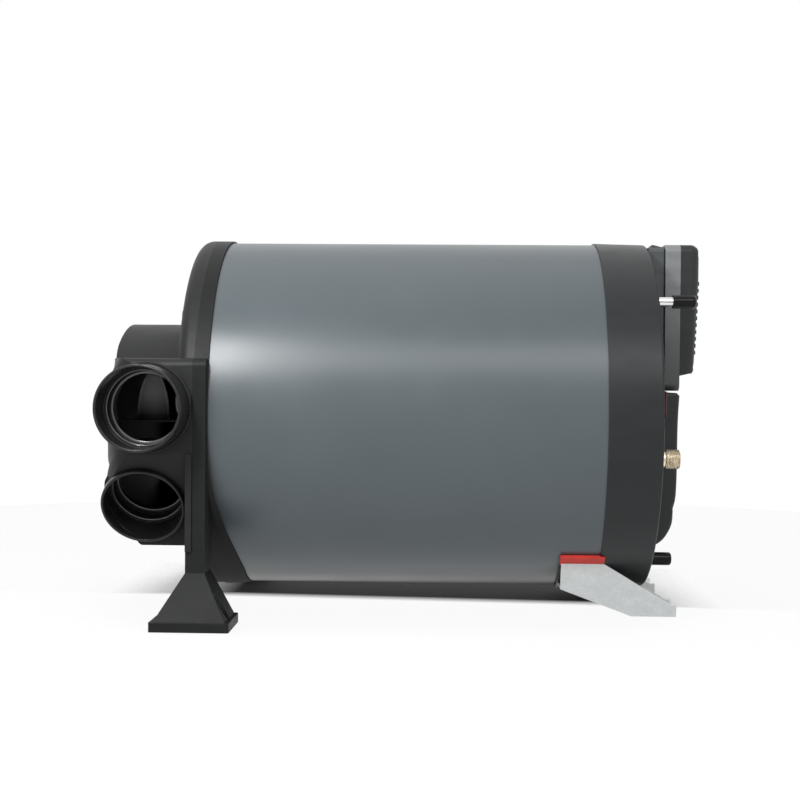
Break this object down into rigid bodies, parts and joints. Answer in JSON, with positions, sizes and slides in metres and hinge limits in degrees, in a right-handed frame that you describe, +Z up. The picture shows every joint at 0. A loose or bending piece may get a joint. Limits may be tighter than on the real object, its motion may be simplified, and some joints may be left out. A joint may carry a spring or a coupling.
{
  "type": "motorhome combi heater",
  "caption": "Drum-shaped gas heater for a motorhome that warms air for round duct outlets and water in a ring-shaped tank, with a control box on its end and feet below.",
  "frame": {"origin": "on the floor under the middle of the whole heater", "axes": "+Z up, +X along the drum from the warm air end to the control end, -Y the right hand side that faces the camera"},
  "size_m": [0.4659, 0.368, 0.3],
  "materials": {
    "black_plastic": "satin",
    "outlet_plastic": "glossy",
    "jacket_paint": "satin blue-grey",
    "ring_plastic": "matte charcoal",
    "box_plastic": "fine grained",
    "board_green": "satin",
    "galvanised": "mottled zinc",
    "stainless": "brushed",
    "steel": "satin",
    "cast_aluminium": "as cast",
    "foam": "open foam",
    "red_silicone": "matte",
    "black_rubber": "matte",
    "bright_pipe": "polished",
    "brass": "machined",
    "ceramic": "glazed"
  },
  "bodies": {
    "heater": {"air_distributor": "black_plastic", "front_cap": "black_plastic", "air_guide_right": "black_plastic", "air_guide_left": "black_plastic", "outlet_upper_right": "outlet_plastic", "outlet_upper_left": "outlet_plastic", "outlet_lower_right": "outlet_plastic", "outlet_lower_left": "outlet_plastic", "jacket": "jacket_paint", "insulation": "foam", "water_tank": "stainless", "heating_rods": "steel", "heat_exchanger": "cast_aluminium", "burner_tube": "stainless", "bulkhead": "cast_aluminium", "burner_head": "cast_aluminium", "igniter": "ceramic", "overheat_switch": "steel", "rear_ring": "ring_plastic", "rear_cover": "ring_plastic", "intake_grille": "ring_plastic", "fan_scroll": "black_plastic", "fan_motor": "steel", "blower_motor": "steel", "blower_cover": "box_plastic", "control_box_base": "box_plastic", "control_box_gasket": "red_silicone", "control_box_frame": "box_plastic", "control_box_lid": "box_plastic", "circuit_board": "board_green", "hot_water_pipe": "bright_pipe", "cold_water_pipe": "bright_pipe", "gas_valve": "brass", "gas_inlet": "brass", "gas_pipe": "steel", "flue_collar": "black_plastic", "exhaust_pipe": "stainless", "rear_foot_right": "galvanised", "rear_foot_left": "galvanised", "rear_pad_right": "red_silicone", "rear_pad_left": "red_silicone", "distributor_screws": "steel", "rear_cover_screws": "steel", "control_box_screws": "steel"},
    "circulation_fan": {"fan_wheel": "black_plastic", "fan_shaft": "steel"},
    "combustion_blower": {"blower_impeller": "black_plastic", "blower_shaft": "steel"},
    "hot_cap": {"hot_pipe_cap": "black_rubber"},
    "cold_cap": {"cold_pipe_cap": "black_rubber"}
  },
  "joints": [
    {"name": "circulation_fan_spin", "type": "hinge", "parent": "heater", "child": "circulation_fan", "pos_m": [0.17061, 0.058, 0.1], "axis": [1, 0, 0], "continuous": true},
    {"name": "combustion_blower_spin", "type": "hinge", "parent": "heater", "child": "combustion_blower", "pos_m": [0.19611, -0.027, 0.115], "axis": [1, 0, 0], "continuous": true},
    {"name": "hot_cap_pull", "type": "slide", "parent": "heater", "child": "hot_cap", "axis": [1, 0, 0], "range_m": [0, 0.03]},
    {"name": "cold_cap_pull", "type": "slide", "parent": "heater", "child": "cold_cap", "axis": [1, 0, 0], "range_m": [0, 0.03]}
  ]
}
